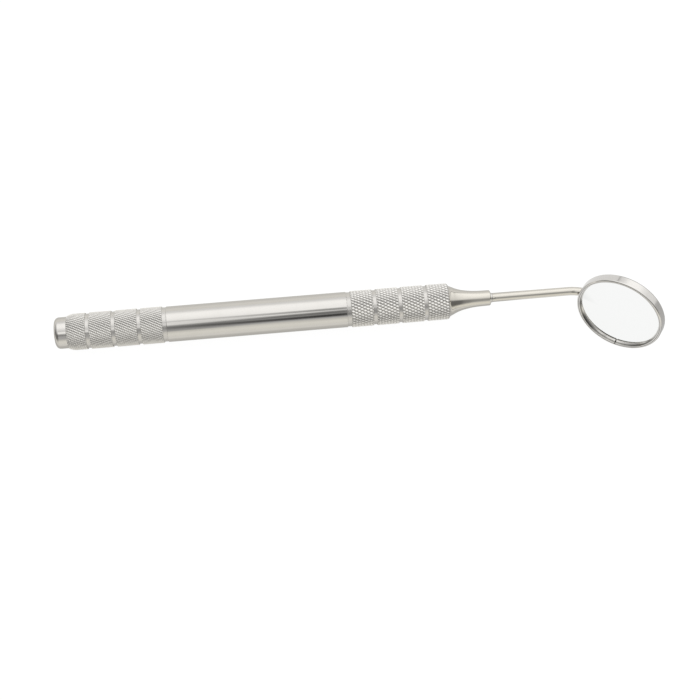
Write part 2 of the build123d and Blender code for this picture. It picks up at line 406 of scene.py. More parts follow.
class Shader:
    """A small helper that adds nodes to a new material and links them."""

    def __init__(self, name):
        self.material = bpy.data.materials.new(name)
        self.material.use_nodes = True
        self.tree = self.material.node_tree
        self.surface = self.tree.nodes["Principled BSDF"]

    def add(self, kind, **settings):
        node = self.tree.nodes.new(kind)
        for key, value in settings.items():
            if hasattr(node, key):
                setattr(node, key, value)
            else:
                node.inputs[key.replace("_", " ")].default_value = value
        return node

    def link(self, source, target):
        self.tree.links.new(source, target)

    def math(self, operation, first, second=0.0):
        node = self.add("ShaderNodeMath", operation=operation)
        for socket, value in zip(node.inputs, (first, second)):
            if isinstance(value, (int, float)):
                socket.default_value = value
            else:
                self.link(value, socket)
        return node.outputs[0]

    def spread(self, value, low, high, new_low, new_high):
        node = self.add("ShaderNodeMapRange")
        for socket, number in zip(node.inputs[1:5], (low, high, new_low, new_high)):
            socket.default_value = number
        self.link(value, node.inputs[0])
        return node.outputs[0]

    def place(self, turn=None, scale=(1, 1, 1)):
        """Object coordinates in a turning frame, then stretched."""
        vector = self.add("ShaderNodeTexCoord").outputs["Object"]
        if turn is not None:
            local = self.add("ShaderNodeMapping", vector_type="TEXTURE")
            local.inputs["Location"].default_value = turn.to_translation()
            local.inputs["Rotation"].default_value = turn.to_euler()
            self.link(vector, local.inputs["Vector"])
            vector = local.outputs[0]
        stretch = self.add("ShaderNodeMapping")
        stretch.inputs["Scale"].default_value = scale
        self.link(vector, stretch.inputs["Vector"])
        return stretch.outputs[0]

    def noise(self, vector, scale=1.0, detail=2.0, roughness=0.5):
        node = self.add("ShaderNodeTexNoise", Scale=scale, Detail=detail, Roughness=roughness)
        self.link(vector, node.inputs["Vector"])
        return node.outputs["Fac"]

    def blend(self, factor, first, second):
        node = self.add("ShaderNodeMix", data_type="RGBA")
        for socket, end in ((node.inputs["A"], first), (node.inputs["B"], second)):
            if isinstance(end, tuple):
                socket.default_value = (*end, 1)
            else:
                self.link(end, socket)
        if isinstance(factor, (int, float)):
            node.inputs["Factor"].default_value = factor
        else:
            self.link(factor, node.inputs["Factor"])
        return [output for output in node.outputs if output.type == "RGBA"][0]

    def bump(self, height, strength, distance):
        node = self.add("ShaderNodeBump", Strength=strength, Distance=distance)
        self.link(height, node.inputs["Height"])
        self.link(node.outputs[0], self.surface.inputs["Normal"])


# ---------------------------------------------------------------- materials

STEEL = (0.585, 0.57, 0.545)
STEEL_WORN = (0.5, 0.485, 0.455)
STEEL_WARM = (0.6, 0.575, 0.52)
# Grime with painted shade in the knurl's cuts
KNURL_GRIME_AND_SHADE = (0.24, 0.23, 0.21)
KNURL_BRIGHT = (0.97, 0.955, 0.925)
KNURL_METAL = 0.75
KNURL_CUT_ROUGH = 0.46
KNURL_CREST_ROUGH = 0.4
GROOVE_POLISH = 0.32
# Painted shade in the rim's seams
RIM_SEAM_SHADE = (0.2, 0.195, 0.18)
RIM_BRIGHT = (0.63, 0.615, 0.59)
SILVERING = (0.92, 0.925, 0.92)
DUST = (0.8, 0.8, 0.79)
STRAW_TINT = (0.55, 0.5, 0.42)
BLUE_TINT = (0.42, 0.44, 0.5)
CEMENT_DARK = (0.66, 0.63, 0.56)
CEMENT_LIGHT = (0.78, 0.76, 0.7)
GLASS_GREEN = (0.78, 0.9, 0.84)


def turned_steel(name, turn, roughness, lines, worn=0.25, metal=STEEL):
    """Steel with fine turning lines round an axis, and faint handling marks."""
    shader = Shader(name)
    surface = shader.surface
    surface.inputs["Metallic"].default_value = 1
    marks = shader.noise(shader.place(), scale=260, detail=5, roughness=0.6)
    shader.link(
        shader.blend(shader.spread(marks, 0.45, 0.85, 0, worn), metal, STEEL_WORN),
        surface.inputs["Base Color"],
    )
    rings = shader.noise(shader.place(turn, (0.5, 0.5, 60)), scale=220, detail=4, roughness=0.7)
    smear = shader.noise(shader.place(), scale=90, detail=3)
    rough = shader.math("ADD", shader.spread(rings, 0.3, 0.7, -0.02, 0.03), roughness)
    rough = shader.math("ADD", rough, shader.spread(smear, 0.35, 0.75, 0, 0.04))
    shader.link(rough, surface.inputs["Roughness"])
    shader.bump(rings, lines, 0.002 * MM)
    return shader.material


def axis_place(shader, turn):
    """Distance from a turning frame's axis, and height along it."""
    split = shader.add("ShaderNodeSeparateXYZ")
    shader.link(shader.place(turn), split.inputs[0])
    square = shader.math("MULTIPLY", split.outputs[0], split.outputs[0])
    other = shader.math("MULTIPLY", split.outputs[1], split.outputs[1])
    return shader.math("SQRT", shader.math("ADD", square, other)), split.outputs[2]


def knurl_steel(name, depth, lead_end=-1.0):
    """Knurled steel: bright worn crests, duller cuts darkened by grime and painted shade, and
    polished grooves.
    """
    shader = Shader(name)
    surface = shader.surface
    surface.inputs["Metallic"].default_value = KNURL_METAL
    distance, height = axis_place(shader, handle_turn)
    run = shader.math("MAXIMUM", shader.math("SUBTRACT", lead_end, height), 0.0)
    run = shader.math("DIVIDE", run, LEAD_LENGTH)
    sunk = shader.math("MULTIPLY", shader.math("MULTIPLY", run, run), CREST_RADIUS - LEAD_RADIUS)
    distance = shader.math("ADD", distance, sunk)
    cut_floor = CREST_RADIUS - depth
    crest = shader.spread(distance, cut_floor, CREST_RADIUS - 0.1 * depth, 0, 1)
    plain = shader.spread(distance, GROOVE_RADIUS, cut_floor, 1, 0)
    plain = shader.math("GREATER_THAN", plain, 0.3)
    grain = shader.noise(shader.place(), scale=2600, detail=4, roughness=0.65)
    # Grime and painted shade: colour runs from dark at the floor of the cuts to bright on the crests
    knurled = shader.blend(crest, KNURL_GRIME_AND_SHADE, KNURL_BRIGHT)
    shader.link(shader.blend(plain, knurled, STEEL), surface.inputs["Base Color"])
    rough = shader.spread(crest, 0, 1, KNURL_CUT_ROUGH, KNURL_CREST_ROUGH)
    rough = shader.math("ADD", rough, shader.spread(grain, 0.3, 0.7, -0.03, 0.05))
    polish = shader.math("MULTIPLY", plain, -GROOVE_POLISH)
    shader.link(shader.math("ADD", rough, polish), surface.inputs["Roughness"])
    shader.bump(grain, 0.25, 0.003 * MM)
    return shader.material


def rim_steel(name, roughness, dark_lines):
    """Rim metal with fine streaks, and painted shade along (radius, half width) lines in front, where
    its parts meet.
    """
    shader = Shader(name)
    surface = shader.surface
    surface.inputs["Metallic"].default_value = 1
    distance, height = axis_place(shader, head_turn)
    streaks = shader.noise(shader.place(), scale=1800, detail=3)
    seam_shade = 0.0
    # Painted shade: each line darkens the front of the rim where its parts meet
    for radius, half_width in dark_lines:
        away = shader.math("ABSOLUTE", shader.math("SUBTRACT", distance, radius))
        seam_shade = shader.math("MAXIMUM", shader.spread(away, half_width / 2, half_width, 1, 0), seam_shade)
    seam_shade = shader.math("MULTIPLY", seam_shade, shader.spread(streaks, 0.3, 0.7, 0.8, 1.0))
    seam_shade = shader.math("MULTIPLY", seam_shade, shader.math("GREATER_THAN", height, 0.0))
    shader.link(shader.blend(seam_shade, RIM_BRIGHT, RIM_SEAM_SHADE), surface.inputs["Base Color"])
    rough = shader.math("ADD", shader.spread(streaks, 0.3, 0.7, -0.02, 0.04), roughness)
    shader.link(rough, surface.inputs["Roughness"])
    shader.bump(streaks, 0.2, 0.002 * MM)
    return shader.material


def weld_steel():
    """Bead of weld metal: grainy, with a faint straw and blue heat tint."""
    shader = Shader("weld_bead_metal")
    surface = shader.surface
    surface.inputs["Metallic"].default_value = 1
    tint = shader.noise(shader.place(), scale=700, detail=2)
    shader.link(
        shader.blend(shader.spread(tint, 0.35, 0.65, 0, 1), STRAW_TINT, BLUE_TINT),
        surface.inputs["Base Color"],
    )
    grain = shader.noise(shader.place(), scale=5200, detail=5, roughness=0.7)
    shader.link(shader.spread(grain, 0.3, 0.7, 0.2, 0.36), surface.inputs["Roughness"])
    shader.bump(grain, 0.4, 0.006 * MM)
    return shader.material


def mirror_layer():
    """Front-surface mirror coating, with the faintest wiping haze and specks of dust."""
    shader = Shader("front_surface_coating")
    surface = shader.surface
    surface.inputs["Metallic"].default_value = 1
    haze = shader.noise(shader.place(head_turn, (1, 3.5, 1)), scale=240, detail=4, roughness=0.6)
    dust = shader.noise(shader.place(), scale=3000, detail=1)
    speck = shader.spread(dust, 0.74, 0.8, 0, 0.5)
    shader.link(shader.blend(speck, SILVERING, DUST), surface.inputs["Base Color"])
    rough = shader.spread(haze, 0.45, 0.8, 0.012, 0.03)
    rough = shader.math("ADD", rough, shader.math("MULTIPLY", speck, 0.2))
    shader.link(rough, surface.inputs["Roughness"])
    return shader.material


def plate_glass():
    """Clear glass with a green cast and finely ground edges."""
    shader = Shader("mirror_plate_glass")
    surface = shader.surface
    surface.inputs["Base Color"].default_value = (*GLASS_GREEN, 1)
    surface.inputs["Transmission Weight"].default_value = 1
    surface.inputs["IOR"].default_value = 1.52
    distance = axis_place(shader, head_turn)[0]
    ground = shader.spread(distance, RING_INNER_RADIUS, RING_INNER_RADIUS + RING_SHOULDER, 0.01, 0.35)
    grain = shader.noise(shader.place(), scale=4000, detail=3)
    rough = shader.math("MULTIPLY", ground, shader.spread(grain, 0.3, 0.7, 0.8, 1.2))
    shader.link(rough, surface.inputs["Roughness"])
    shader.bump(grain, 0.1, 0.002 * MM)
    return shader.material


def cement_paste():
    """Off-white setting cement with fine grit and small voids."""
    shader = Shader("setting_cement")
    surface = shader.surface
    cloud = shader.noise(shader.place(), scale=500, detail=4)
    shader.link(
        shader.blend(shader.spread(cloud, 0.3, 0.7, 0, 1), CEMENT_DARK, CEMENT_LIGHT),
        surface.inputs["Base Color"],
    )
    pits = shader.add("ShaderNodeTexVoronoi", Scale=2600.0)
    shader.link(shader.place(), pits.inputs["Vector"])
    shader.bump(shader.math("ADD", pits.outputs["Distance"], cloud), 0.4, 0.03 * MM)
    surface.inputs["Roughness"].default_value = 0.8
    return shader.material


tube_finish = turned_steel("polished_tube_steel", handle_turn, 0.055, 0.10)
cap_finish = turned_steel("turned_cap_steel", handle_turn, 0.09, 0.22)
nose_finish = turned_steel("polished_nose_steel", handle_turn, 0.08, 0.16, metal=STEEL_WARM)
stem_finish = turned_steel("drawn_stem_steel", None, 0.1, 0.10, metal=STEEL_WARM)
thread_finish = turned_steel("cut_thread_steel", handle_turn, 0.2, 0.2, worn=0.5)
washer_finish = turned_steel("stamped_washer_steel", handle_turn, 0.26, 0.3, worn=0.6)
# Lines of painted shade on the rim: the seam of ring and lip, and the ring's shoulder by the glass
rim_seam = (CUP_RADIUS - CUP_WALL, 0.08 * MM)
ring_shoulder = (RING_INNER_RADIUS + RING_BEVEL, 0.12 * MM)
cup_finish = rim_steel("spun_cup_steel", 0.1, (rim_seam,))
ring_finish = rim_steel("split_ring_steel", 0.14, (rim_seam, ring_shoulder))
front_knurl_finish = knurl_steel("front_knurl_steel", FRONT_DEPTH)
rear_knurl_finish = knurl_steel("rear_knurl_steel", REAR_DEPTH, cap_end + LEAD_LENGTH)
weld_finish = weld_steel()

for node, finish, kind in (
    ("backing_cement", cement_paste(), "cement"),
    ("mirror_glass", plate_glass(), "glass"),
    ("mirror_coating", mirror_layer(), "mirror"),
):
    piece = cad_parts[node]
    piece.data.materials.clear()
    piece.data.materials.append(finish)


# ---------------------------------------------------------------- knurled grips

def ridge(phase, flat):
    """Height between two V cuts: 0 in the cut, and 1 on the crest."""
    away = 2 * abs(phase - round(phase))
    return min(1.0, away / flat)


def knurl_band(low, high, row, families, depth, lead=None):
    """Rows of one knurled band: its two eased ends, and the grid lines between them."""

    def radius(height, angle):
        cut = max(
            share * (1 - ridge(starts * angle / TURN + lean * height / (rows * row), flat))
            for starts, rows, lean, flat, share in families
        )
        edge = min(height - low, high - height)
        limit = CREST_RADIUS - max(0.0, BAND_EDGE - edge)
        if lead is not None and height < lead_end:
            return lead(height) - depth * cut
        return min(limit, CREST_RADIUS - depth * cut)

    first = math.ceil(low / row + 0.3)
    last = math.floor(high / row - 0.3)
    heights = [low] + [number * row for number in range(first, last + 1)] + [high]
    return [(radius, height) for height in heights]


def groove_rows(low, high):
    """Rows of a plain groove with eased inside corners."""
    rows = []
    for rise, run in ((1.0, 0.0), (0.3, 0.7), (0.0, 1.0), (0.0, 2.0)):
        rows.append((GROOVE_RADIUS + GROOVE_EASE * rise, low + GROOVE_EASE * run))
    for rise, run in ((0.0, 2.0), (0.0, 1.0), (0.3, 0.7), (1.0, 0.0)):
        rows.append((GROOVE_RADIUS + GROOVE_EASE * rise, high - GROOVE_EASE * run))
    return rows


def banded(low, high, first_groove, **knurl):
    """Rows of a grip: knurled bands with plain grooves between them."""
    rows = []
    start = low
    for number in range(GROOVE_COUNT):
        centre = first_groove + number * BAND_PITCH
        rows += knurl_band(start, centre - GROOVE_WIDTH / 2, **knurl)
        rows += groove_rows(centre - GROOVE_WIDTH / 2, centre + GROOVE_WIDTH / 2)
        start = centre + GROOVE_WIDTH / 2
        knurl.pop("lead", None)
    return rows + knurl_band(start, high, **knurl)


lead_end = cap_end + LEAD_LENGTH
lead_rise = CREST_RADIUS - LEAD_RADIUS
lead_arc = (LEAD_LENGTH**2 + lead_rise**2) / (2 * lead_rise)


def lead_radius(height):
    """Radius of the rounded lead at the rear grip's end."""
    run = lead_end - height
    return CREST_RADIUS - lead_arc + math.sqrt(lead_arc**2 - run**2)


rear_rows = [(GRIP_BORE_RADIUS, cap_end)]
rear_rows += banded(
    cap_end,
    rear_joint - SEAT_RING_WIDTH,
    cap_end + FIRST_REAR_GROOVE,
    row=REAR_ROW,
    families=REAR_KNURL,
    depth=REAR_DEPTH,
    lead=lead_radius,
)
rear_rows += groove_rows(rear_joint - SEAT_RING_WIDTH, rear_joint)
rear_rows += [
    (SPIGOT_RADIUS, rear_joint),
    (SPIGOT_RADIUS, rear_joint + SPIGOT_LENGTH - SPIGOT_EDGE),
    (SPIGOT_RADIUS - SPIGOT_EDGE, rear_joint + SPIGOT_LENGTH),
    (GRIP_BORE_RADIUS, rear_joint + SPIGOT_LENGTH),
]
add_piece(
    "rear_grip_sleeve",
    *turned(rear_rows, handle_turn, REAR_COLUMNS),
    body="handle",
    material=rear_knurl_finish,
    slot="knurled_steel",
    stands_for=("rear_grip",),
)

plug_start = knurl_end - NOSE_PLUG_LENGTH
mouth = knurl_end + KNURL_CORNER
front_rows = [
    (GRIP_BORE_RADIUS, front_joint - SPIGOT_LENGTH),
    (SPIGOT_RADIUS - SPIGOT_EDGE, front_joint - SPIGOT_LENGTH),
    (SPIGOT_RADIUS, front_joint - SPIGOT_LENGTH + SPIGOT_EDGE),
    (SPIGOT_RADIUS, front_joint),
]
front_rows += groove_rows(front_joint, front_joint + SEAT_RING_WIDTH)
front_rows += banded(
    front_joint + SEAT_RING_WIDTH,
    knurl_end,
    front_joint + FIRST_FRONT_GROOVE,
    row=FRONT_ROW,
    families=FRONT_KNURL,
    depth=FRONT_DEPTH,
)
front_rows += [
    (NOSE_MOUTH_RADIUS + 0.06 * MM, knurl_end + 0.08 * MM),
    (NOSE_MOUTH_RADIUS, mouth),
    (NOSE_PLUG_RADIUS, mouth),
    (NOSE_PLUG_RADIUS, plug_start),
    (GRIP_BORE_RADIUS, plug_start),
]
add_piece(
    "front_grip_sleeve",
    *turned(front_rows, handle_turn, FRONT_COLUMNS),
    body="handle",
    material=front_knurl_finish,
    slot="knurled_steel",
    stands_for=("front_grip",),
)


# ---------------------------------------------------------------- nose, tube, cap and washer

def thread_radius(play):
    """Radius of a right-hand V thread, as a function of height and angle."""

    def radius(height, angle):
        phase = height / SCREW_PITCH - angle / TURN
        away = 2 * abs(phase - round(phase))
        return SCREW_RADIUS + play - SCREW_DEPTH * min(1.0, max(0.0, 1.5 * away - 0.25))

    return radius


def thread_rows(low, high, radius):
    """Rows of a thread, about a tenth of its pitch apart."""
    count = round((high - low) / SCREW_PITCH * ROWS_PER_THREAD)
    return [(radius, low + (high - low) * number / count) for number in range(count + 1)]


tapped_low = collar_end - TAPPED_THREADS * SCREW_PITCH
tapped = thread_rows(tapped_low, collar_end - MOUTH_CHAMFER, thread_radius(SCREW_PLAY))
nose_curve = through(
    [
        (mouth, NOSE_MOUTH_RADIUS - 0.02 * MM),
        (knurl_end + 1.6 * MM, 3.6 * MM),
        (knurl_end + 3.2 * MM, 2.93 * MM),
        (knurl_end + 5.6 * MM, 2.4 * MM),
        (collar_end - COLLAR_EDGE, COLLAR_RADIUS),
    ],
    (0.35, -1),
    (1, -0.03),
    steps=12,
)
nose_rows = [(0, plug_start)]
nose_rows += [
    (NOSE_PLUG_RADIUS - PLUG_EDGE, plug_start),
    (NOSE_PLUG_RADIUS - 0.01 * MM, plug_start + PLUG_EDGE),
    (NOSE_PLUG_RADIUS - 0.01 * MM, mouth),
]
nose_rows += [(spot.y, spot.x) for spot in nose_curve]
nose_rows += [
    (COLLAR_RADIUS - 0.03 * MM, collar_end - COLLAR_EDGE + 0.02 * MM),
    (COLLAR_RADIUS - COLLAR_EDGE + 0.03 * MM, collar_end - 0.02 * MM),
    (COLLAR_RADIUS - COLLAR_EDGE - 0.02 * MM, collar_end),
    (SCREW_RADIUS + MOUTH_CHAMFER, collar_end),
]
nose_rows += reversed(tapped)
nose_rows += [
    (SCREW_RADIUS + SCREW_RELIEF, tapped_low - 0.2 * SCREW_PITCH),
    (SCREW_RADIUS + SCREW_RELIEF, screw_start - DRILL_ROOM),
    (0, screw_start - DRILL_ROOM - DRILL_POINT),
]
add_piece(
    "nose_and_collar",
    *turned(nose_rows, handle_turn, NOSE_COLUMNS),
    body="handle",
    material=nose_finish,
    slot="polished_steel",
    stands_for=("front_grip",),
)

tube_outline = rounded(
    [
        (TUBE_BORE_RADIUS, rear_joint, FINE_EDGE),
        (TUBE_RADIUS, rear_joint, TUBE_EDGE),
        (TUBE_RADIUS, front_joint, TUBE_EDGE),
        (TUBE_BORE_RADIUS, front_joint, FINE_EDGE),
    ]
)
add_piece(
    "polished_centre_tube",
    *turned(tube_outline, handle_turn, TUBE_COLUMNS),
    body="handle",
    material=tube_finish,
    slot="polished_steel",
    stands_for=("centre_tube",),
)

cap_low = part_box("tail_cap")[0].x
cap_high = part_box("tail_cap")[1].x
cap_outline = rounded(
    [
        (0, cap_low, 0),
        (CAP_RADIUS, cap_low, CAP_EDGE),
        (CAP_RADIUS, cap_end, SEAT_EDGE),
        (CAP_PLUG_RADIUS, cap_end, 0),
        (CAP_PLUG_RADIUS, cap_high, PLUG_EDGE),
        (0, cap_high, 0),
    ],
    steps=14,
)
add_piece(
    "turned_tail_cap",
    *turned(cap_outline, handle_turn, CAP_COLUMNS),
    body="handle",
    material=cap_finish,
    slot="polished_steel",
    stands_for=("tail_cap",),
)

washer_outline = rounded(
    [
        (WASHER_BORE, collar_end, FINE_EDGE),
        (WASHER_RADIUS, collar_end, WASHER_ROUND),
        (WASHER_RADIUS, washer_end, WASHER_ROUND),
        (WASHER_BORE, washer_end, FINE_EDGE),
    ]
)
add_piece(
    "captive_washer",
    *turned(washer_outline, handle_turn, SMALL_COLUMNS),
    body="washer",
    material=washer_finish,
    slot="satin_steel",
    stands_for=("seat_washer",),
)


# ---------------------------------------------------------------- stem

screw_rows = [(0, screw_start), (SCREW_RADIUS - SCREW_DEPTH, screw_start)]
screw_rows += thread_rows(screw_start + SCREW_LEAD, collar_end - NECK_LENGTH, thread_radius(0))
screw_rows += [
    (NECK_RADIUS, collar_end - NECK_LENGTH + NECK_EASE),
    (NECK_RADIUS, washer_end + NECK_EASE),
    (0, washer_end + NECK_EASE),
]
add_piece(
    "stem_screw",
    *turned(screw_rows, handle_turn, SMALL_COLUMNS),
    body="head",
    material=thread_finish,
    slot="polished_steel",
    stands_for=("stem",),
)

face_distance = face_centre.dot(along)
face_rise = face_centre.dot(rise)
seat_offset = STEM_TIP_RADIUS - STEM_FLAT + CUP_BACK - face_rise * tilt_cos + face_distance * tilt_sin
bend_start = (seat_offset - STEM_BEND_RADIUS * (1 - tilt_cos)) / tilt_sin
flank = along.cross(rise)
back_centre = face_centre - normal * CUP_BACK


def stem_ring(centre, heading, radius):
    """A ring round the stem, kept on its own side of the cup's back."""
    lift = heading.cross(flank)
    ring = []
    for number in range(STEM_POINTS):
        angle = TURN * number / STEM_POINTS
        point = centre + flank * (radius * math.cos(angle)) + lift * (radius * math.sin(angle))
        proud = (point - back_centre).dot(normal)
        if (point - back_centre - normal * proud).length > CUP_RADIUS - CUP_BACK_ROUND / 2:
            proud = 0.0
        ring.append(point - normal * max(0.0, proud))
    return ring


def stem_rings():
    """Rings from the stem's shoulder, round its bend, to its rounded end."""
    edge = STEM_SHOULDER_EDGE
    rings = [
        stem_ring(along * washer_end, along, STEM_ROOT_RADIUS - edge),
        stem_ring(along * (washer_end + edge / 4), along, STEM_ROOT_RADIUS - edge / 3),
    ]
    straight = bend_start - washer_end - edge
    for number in range(STEM_STRAIGHT_STEPS + 1):
        share = number / STEM_STRAIGHT_STEPS
        radius = STEM_ROOT_RADIUS + (STEM_TIP_RADIUS - STEM_ROOT_RADIUS) * share
        place = washer_end + edge + straight * share
        rings.append(stem_ring(along * place, along, radius))
    tilt = math.atan2(tilt_sin, tilt_cos)
    for number in range(1, STEM_BEND_STEPS + 1):
        angle = tilt * number / STEM_BEND_STEPS
        place = bend_start + STEM_BEND_RADIUS * math.sin(angle)
        lift = STEM_BEND_RADIUS * (1 - math.cos(angle))
        heading = along * math.cos(angle) + rise * math.sin(angle)
        rings.append(stem_ring(along * place + rise * lift, heading, STEM_TIP_RADIUS))
    bend_end = along * place + rise * lift
    flat = STEM_SEAT_LENGTH - STEM_END_ROUND
    for number in range(1, STEM_SEAT_STEPS + 1):
        reach = flat * number / STEM_SEAT_STEPS
        rings.append(stem_ring(bend_end + outward * reach, outward, STEM_TIP_RADIUS))
    for number in range(1, STEM_END_STEPS + 1):
        angle = TURN / 4 * number / STEM_END_STEPS
        reach = flat + STEM_END_ROUND * math.sin(angle)
        radius = STEM_TIP_RADIUS - STEM_END_ROUND * (1 - math.cos(angle))
        rings.append(stem_ring(bend_end + outward * reach, outward, radius))
    return rings, bend_end


rings, bend_end = stem_rings()
points, faces = loft(rings)
faces.append(list(range(len(rings[0])))[::-1])
faces.append(list(range(len(points) - len(rings[0]), len(points))))
add_piece(
    "bent_stem_rod",
    points,
    faces,
    body="head",
    material=stem_finish,
    slot="polished_steel",
    stands_for=("stem",),
)


# ---------------------------------------------------------------- cup, ring and weld bead

cup_inside = CUP_RADIUS - CUP_WALL
cup_outline = rounded(
    [
        (0, -CUP_BACK, 0),
        (CUP_RADIUS, -CUP_BACK, CUP_BACK_ROUND),
        (CUP_RADIUS, CUP_LIP, CUP_LIP_ROUND),
        (cup_inside, CUP_LIP, SEAT_EDGE),
        (cup_inside, -CUP_FLOOR, CUP_CORNER),
        (0, -CUP_FLOOR, 0),
    ],
    steps=10,
)
add_piece(
    "pressed_mirror_cup",
    *turned(cup_outline, head_turn, CUP_COLUMNS),
    body="head",
    material=cup_finish,
    slot="polished_steel",
    stands_for=("mirror_cup",),
)

ring_outer = cup_inside - RING_PLAY
ring_outline = rounded(
    [
        (RING_INNER_RADIUS, RING_LIFT, 0),
        (RING_INNER_RADIUS + RING_FOOT_EASE, 4 * RING_FOOT_EASE, RING_FOOT_EASE),
        (RING_INNER_RADIUS + RING_BEVEL, RING_SHOULDER, RING_CORNER),
        (RING_INNER_RADIUS + RING_BEVEL + RING_EASE, CUP_LIP - RING_INNER_DROP, RING_CORNER),
        (ring_outer, CUP_LIP - RING_OUTER_DROP, FINE_EDGE),
        (ring_outer, RING_LIFT, 0),
    ],
    steps=4,
)
gap_half = RING_GAP / 2 / ((RING_INNER_RADIUS + ring_outer) / 2)
add_piece(
    "split_glass_ring",
    *turned(ring_outline, head_turn, RING_COLUMNS, RING_GAP_ANGLE + gap_half, TURN - 2 * gap_half),
    body="head",
    material=ring_finish,
    slot="satin_steel",
    stands_for=("glass_ring",),
)

bead_low = -CUP_RADIUS + CUP_BACK_ROUND + STEM_TIP_RADIUS + 0.1 * MM
stem_tip = (bend_end - face_centre).dot(outward) + STEM_SEAT_LENGTH
bead_high = stem_tip - STEM_TIP_RADIUS + WELD_PAST_TIP


def bead_section(number):
    """One section of the weld bead, whose toe and crown ripple as the weld was laid."""
    share = number / BEAD_SECTIONS
    straight = bead_high - bead_low
    half_round = math.pi * STEM_TIP_RADIUS
    place = share * 2 * (straight + half_round)
    if place < straight:
        middle_place = bead_low + place
        angle = -TURN / 4
    elif place < straight + half_round:
        middle_place = bead_high
        angle = -TURN / 4 + (place - straight) / STEM_TIP_RADIUS
    elif place < 2 * straight + half_round:
        middle_place = bead_high - (place - straight - half_round)
        angle = TURN / 4
    else:
        middle_place = bead_low
        angle = TURN / 4 + (place - 2 * straight - half_round) / STEM_TIP_RADIUS
    facing = outward * math.cos(angle) + sideways * math.sin(angle)
    ripple = abs(math.sin(place / WELD_RIPPLE * math.pi)) + 0.3 * math.sin(TURN * share * 7)
    toe = STEM_TIP_RADIUS + WELD_WIDTH * (0.62 + 0.14 * ripple)
    crown = WELD_HEIGHT * (1 + 0.12 * ripple)
    neck = STEM_TIP_RADIUS - WELD_LAP
    shape = [(neck - WELD_ROOT, 0.0), (toe, 0.0)]
    for step in range(1, BEAD_ARC_STEPS + 1):
        turn = TURN / 4 * step / BEAD_ARC_STEPS
        shape.append((neck + (toe - neck) * math.cos(turn) ** 1.2, crown * math.sin(turn) ** 1.2))
    shape.append((neck - WELD_ROOT, crown * 0.8))
    base = back_centre + outward * middle_place
    return [base + facing * out - normal * depth for out, depth in shape]


bead_rings = [bead_section(number) for number in range(BEAD_SECTIONS)]
points, faces = loft(bead_rings + [bead_rings[0]])
width = len(bead_rings[0])
total = BEAD_SECTIONS * width
points = points[:total]
faces = [tuple(corner % total for corner in face) for face in faces]
add_piece(
    "weld_bead",
    points,
    faces,
    body="head",
    material=weld_finish,
    slot="weld_metal",
    stands_for=("weld_fillet",),
    sharp_angle=50,
)


# ---------------------------------------------------------------- floor, light and camera

def pale_floor():
    """A wide, near-white table top that mostly glows, so that shadows on it are faint."""
    shader = Shader("pale_table")
    surface = shader.surface
    cloud = shader.noise(shader.place(), scale=6, detail=2)
    shader.link(shader.blend(cloud, TABLE_GREY_LOW, TABLE_GREY_HIGH), surface.inputs["Base Color"])
    surface.inputs["Roughness"].default_value = 1
    surface.inputs["Specular IOR Level"].default_value = 0
    split = shader.add("ShaderNodeSeparateXYZ")
    shader.link(shader.place(), split.inputs[0])
    length = split.outputs[0]
    away = shader.math("ABSOLUTE", shader.math("SUBTRACT", split.outputs[1], SHADE_MIDDLE))
    under_handle = shader.spread(away, SHADE_NEAR, SHADE_FAR, SHADE_BY_HANDLE, SHADE_OPEN)
    past_handle = shader.spread(length, *HANDLE_SHADE_END, 0, SHADE_OPEN)
    past_head = shader.spread(length, *HEAD_SHADE_START, SHADE_OPEN, SHADE_BY_HEAD)
    shade = shader.math("MINIMUM", shader.math("MAXIMUM", under_handle, past_handle), past_head)
    seen = shader.add("ShaderNodeLightPath").outputs["Is Camera Ray"]
    white = shader.math("MAXIMUM", shader.spread(length, *WARM_END, 0, 1), seen)
    shader.link(shader.blend(white, FLOOR_WARM, FLOOR_WHITE), surface.inputs["Emission Color"])
    mixed = shader.add("ShaderNodeMapRange")
    shader.link(seen, mixed.inputs[0])
    shader.link(shade, mixed.inputs[3])
    mixed.inputs[4].default_value = 1
    glow = shader.math("MULTIPLY", mixed.outputs[0], FLOOR_GLOW)
    shader.link(glow, surface.inputs["Emission Strength"])
    return shader.material


floor_mesh = bpy.data.meshes.new("table_top")
floor_level = cad_low.z - TABLE_DROP
corners = [(-1, -1), (1, -1), (1, 1), (-1, 1)]
floor_mesh.from_pydata(
    [(x * TABLE_HALF, y * TABLE_HALF, floor_level) for x, y in corners], [], [(0, 1, 2, 3)]
)
floor_mesh.materials.append(pale_floor())
floor = bpy.data.objects.new("table_top", floor_mesh)
bpy.context.scene.collection.objects.link(floor)

